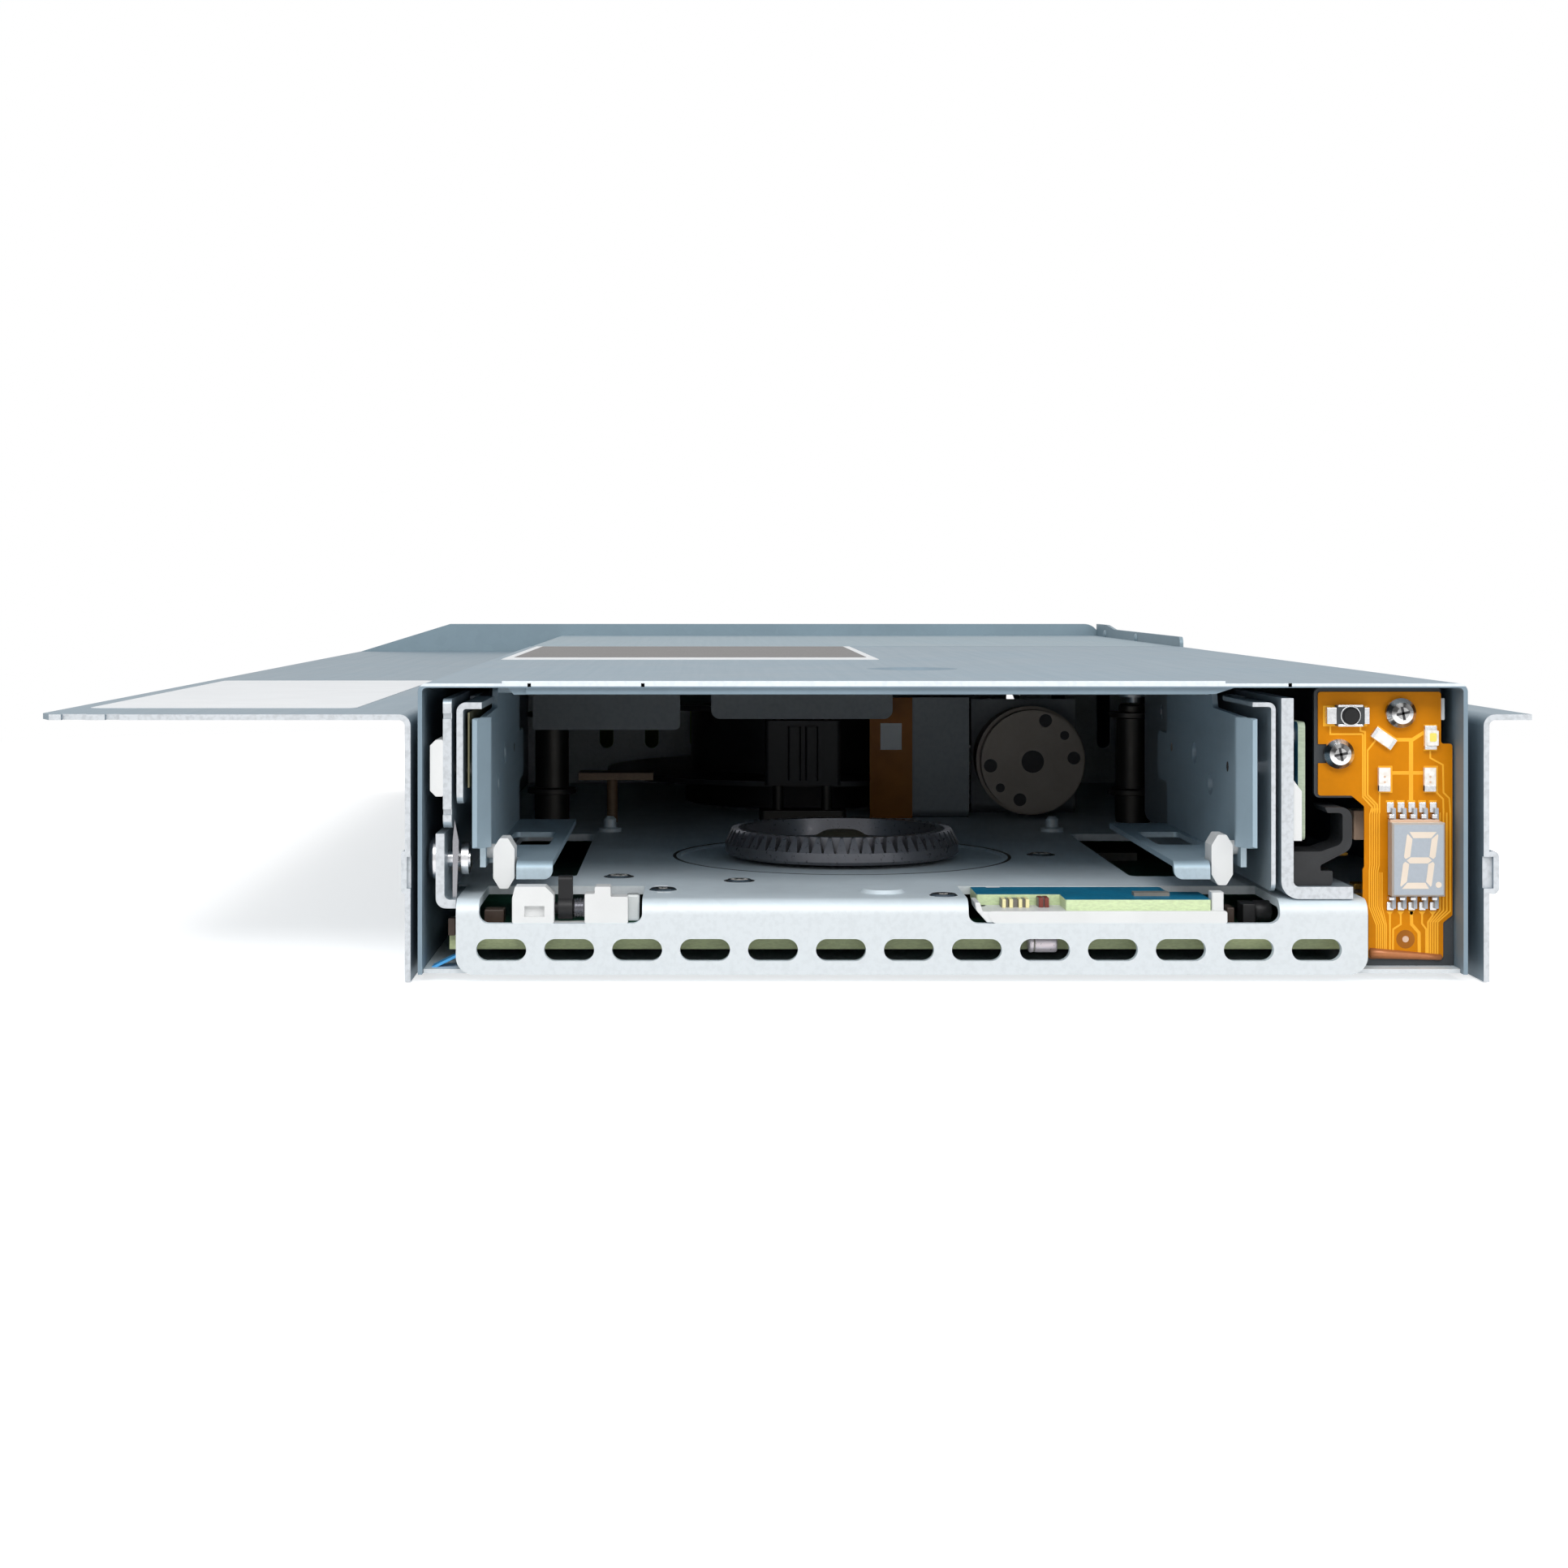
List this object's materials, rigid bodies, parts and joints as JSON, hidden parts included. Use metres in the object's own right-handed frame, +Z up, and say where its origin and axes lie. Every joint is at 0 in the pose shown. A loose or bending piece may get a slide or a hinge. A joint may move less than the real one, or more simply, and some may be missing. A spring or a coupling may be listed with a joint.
{
  "type": "data tape drive in library sled",
  "caption": "Half-height tape drive without bezel in a sheet-metal library sled: open loader mouth, toothed reel gear, slotted front plate and display flex.",
  "frame": {"origin": "middle of the bounding box's bottom face", "axes": "+X to the right seen from the front, +Y from the loader mouth to the rear panel, +Z up"},
  "size_m": [0.21, 0.3474, 0.0446],
  "materials": {
    "zinc_steel": "zinc-plated sheet steel, fine spangle",
    "frame_steel": "plated steel with bright cut edges",
    "dark_steel": "oiled dark steel",
    "screw_steel": "bright plated",
    "brass": "turned",
    "cast_alloy": "satin",
    "white_plastic": "moulded",
    "black_plastic": "moulded",
    "grey_plastic": "moulded",
    "board_green": "laminate",
    "board_teal": "lacquered laminate",
    "board_part": "components",
    "flex_orange": "polyimide ribbon",
    "flex_brown": "polyimide ribbon",
    "lamp": "cast resin",
    "tape": "reel moulding"
  },
  "bodies": {
    "chassis": {"sled": "zinc_steel", "side_screws": "screw_steel", "rear_housing": "zinc_steel", "rear_panel": "zinc_steel", "rear_handle": "screw_steel", "fan_frame": "black_plastic", "interface_board": "board_green", "data_ports": "screw_steel", "power_socket": "black_plastic", "top_cover": "zinc_steel", "bottom_cover": "zinc_steel", "base_deck": "zinc_steel", "frame_screws": "screw_steel", "side_frame_left": "frame_steel", "side_frame_right": "frame_steel", "spring_plate": "screw_steel", "reel_motor": "dark_steel", "takeup_motor": "dark_steel", "path_posts": "frame_steel", "head_rods": "frame_steel", "head_shield": "zinc_steel", "head_flex": "flex_brown", "path_brackets": "zinc_steel", "path_sensor": "flex_brown", "loader_motor": "cast_alloy", "logic_board": "board_green", "board_parts": "board_part", "sensor_board": "board_teal", "sensor_holder": "white_plastic", "side_board": "board_teal", "side_connector": "white_plastic", "guide_hook": "black_plastic", "display_flex": "flex_orange", "display_bracket": "zinc_steel", "display_module": "grey_plastic", "indicator_lamps": "lamp", "panel_screws": "screw_steel", "eject_switch": "grey_plastic", "switch_holder": "white_plastic", "lever_shaft": "black_plastic", "lever_spring": "dark_steel"},
    "carriage": {"bracket_left": "frame_steel", "bracket_right": "frame_steel"},
    "cartridge_tray": {"tray": "zinc_steel", "tray_pads": "white_plastic", "tray_pins": "screw_steel"},
    "cam_plate": {"cam_slider": "frame_steel", "glide_pad": "white_plastic"},
    "reel_drive": {"reel_gear": "dark_steel", "gear_hub": "brass"},
    "takeup": {"takeup_reel": "tape"},
    "left_roller": {"roller_left": "cast_alloy"},
    "right_roller": {"roller_right": "cast_alloy"},
    "head": {"tape_head": "cast_alloy"},
    "threader": {"threading_arm": "frame_steel"},
    "fan": {"fan_rotor": "black_plastic"},
    "left_thumbscrew": {"thumbscrew_left": "cast_alloy"},
    "right_thumbscrew": {"thumbscrew_right": "cast_alloy"},
    "eject": {"eject_button": "black_plastic"},
    "lever": {"sense_lever": "black_plastic"}
  },
  "joints": [
    {"name": "loader_slide", "type": "slide", "parent": "chassis", "child": "carriage", "axis": [0, 1, 0], "range_m": [0, 0.024]},
    {"name": "cam_slide", "type": "slide", "parent": "carriage", "child": "cam_plate", "axis": [0, 1, 0], "range_m": [0, 0.005]},
    {"name": "tray_drop", "type": "slide", "parent": "carriage", "child": "cartridge_tray", "axis": [0, 0, -1], "range_m": [0, 0.0015]},
    {"name": "reel_gear_spin", "type": "hinge", "parent": "chassis", "child": "reel_drive", "pos_m": [0.01, -0.11675, 0.01175], "axis": [0, 0, 1], "continuous": true},
    {"name": "takeup_spin", "type": "hinge", "parent": "chassis", "child": "takeup", "pos_m": [0.007, -0.01075, 0.017], "axis": [0, 0, 1], "continuous": true},
    {"name": "left_roller_spin", "type": "hinge", "parent": "chassis", "child": "left_roller", "pos_m": [-0.0406, -0.05725, 0.0166], "axis": [0, 0, 1], "continuous": true},
    {"name": "right_roller_spin", "type": "hinge", "parent": "chassis", "child": "right_roller", "pos_m": [0.067, -0.05955, 0.0166], "axis": [0, 0, 1], "continuous": true},
    {"name": "head_step", "type": "slide", "parent": "chassis", "child": "head", "axis": [0, 0, 1], "range_m": [-0.0035, 0.0035]},
    {"name": "threading_swing", "type": "hinge", "parent": "chassis", "child": "threader", "pos_m": [0.078, -0.02375, 0.0344], "axis": [0, 0, -1], "range_deg": [0, 85]},
    {"name": "fan_spin", "type": "hinge", "parent": "chassis", "child": "fan", "pos_m": [0.059, 0.14225, 0.02025], "axis": [0, 1, 0], "continuous": true},
    {"name": "left_thumbscrew_turn", "type": "hinge", "parent": "chassis", "child": "left_thumbscrew", "pos_m": [-0.0926, 0.15125, 0.025], "axis": [0, 1, 0], "continuous": true},
    {"name": "right_thumbscrew_turn", "type": "hinge", "parent": "chassis", "child": "right_thumbscrew", "pos_m": [0.1006, 0.15125, 0.025], "axis": [0, 1, 0], "continuous": true},
    {"name": "eject_press", "type": "slide", "parent": "chassis", "child": "eject", "axis": [0, 1, 0], "range_m": [0, 0.00025], "stiffness_N_per_m": 4000},
    {"name": "lever_tip", "type": "hinge", "parent": "chassis", "child": "lever", "pos_m": [-0.03215, -0.17055, 0.0099], "axis": [1, 0, 0], "range_deg": [-30, 30], "stiffness_Nm_per_rad": 0.0004}
  ],
  "couplings": [
    {"joint": "tray_drop", "follows": "cam_slide", "ratio": 0.3}
  ]
}
